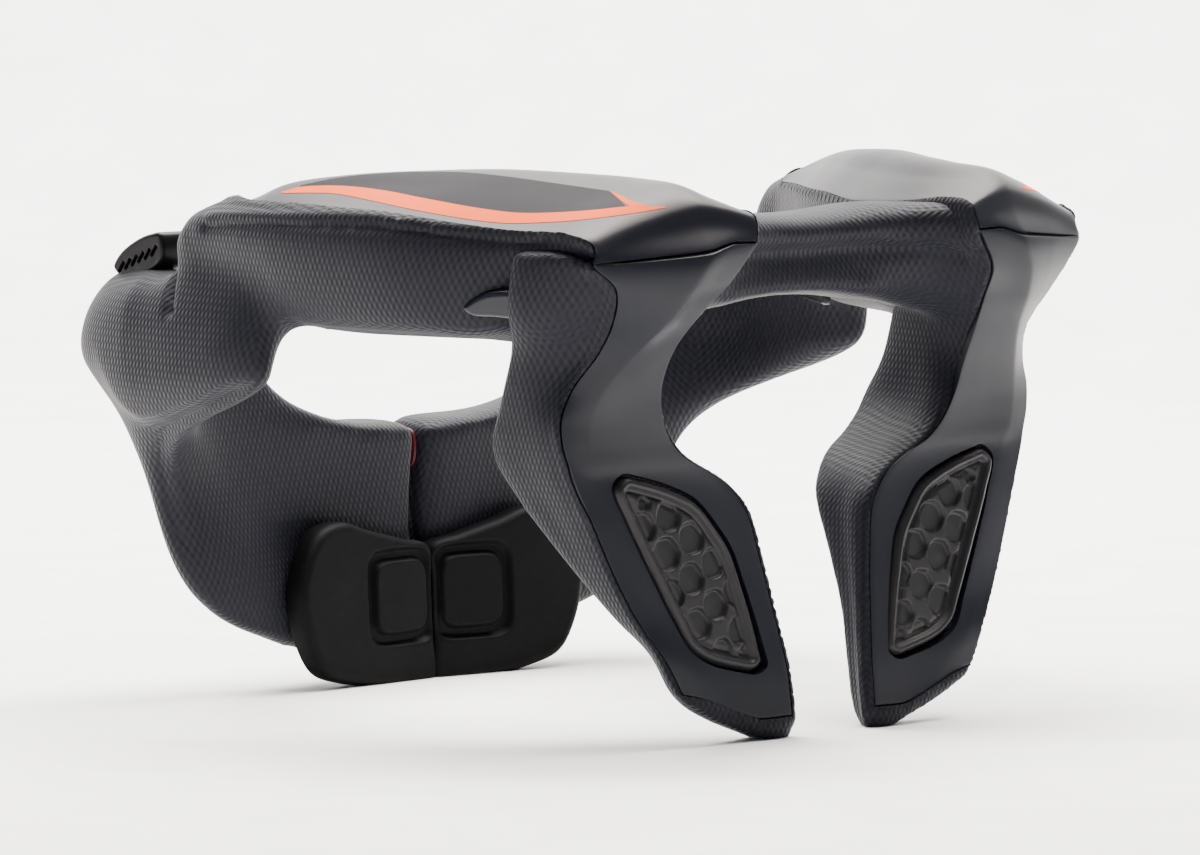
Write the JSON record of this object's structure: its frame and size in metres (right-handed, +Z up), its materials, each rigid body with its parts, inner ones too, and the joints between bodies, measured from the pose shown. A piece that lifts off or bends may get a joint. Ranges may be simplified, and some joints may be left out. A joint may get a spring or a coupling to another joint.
{
  "type": "neck brace",
  "caption": "Padded neck brace that rests on the shoulders, with two raised side wings, rear legs, a split chest plate and an open neck hollow.",
  "frame": {"origin": "middle of the bounding box's footprint, on the surface the brace stands on", "axes": "+X towards the wearer's right, +Y towards the wearer's front, +Z up; the brace mirrors across the plane X = 0, except for its one latch"},
  "size_m": [0.305, 0.2816, 0.198],
  "materials": {
    "cover_fabric": "embossed stretch cover over foam, matt",
    "skin_plastic": "satin moulded plastic",
    "pad_rubber": "moulded, with honeycomb recesses",
    "chest_foam": "soft closed foam, matt",
    "latch_plastic": "moulded, slightly glossy",
    "tab_red": "dark red",
    "trim_plastic": "smooth moulded plastic"
  },
  "bodies": {
    "root": {"rear_bridge": "cover_fabric", "rear_leg_right": "cover_fabric", "rear_leg_left": "cover_fabric", "side_wing_right": "cover_fabric", "side_wing_left": "cover_fabric", "front_lobe_right": "cover_fabric", "front_lobe_left": "cover_fabric", "top_skin_right": "skin_plastic", "top_skin_left": "skin_plastic", "back_skin_right": "skin_plastic", "back_skin_left": "skin_plastic", "back_pad_right": "pad_rubber", "back_pad_left": "pad_rubber", "chest_pad_right": "chest_foam", "chest_pad_left": "chest_foam", "front_latch": "latch_plastic", "closure_tab": "tab_red", "side_cap_right": "trim_plastic", "side_cap_left": "trim_plastic", "inner_strip_right": "trim_plastic", "inner_strip_left": "trim_plastic"}
  },
  "joints": []
}
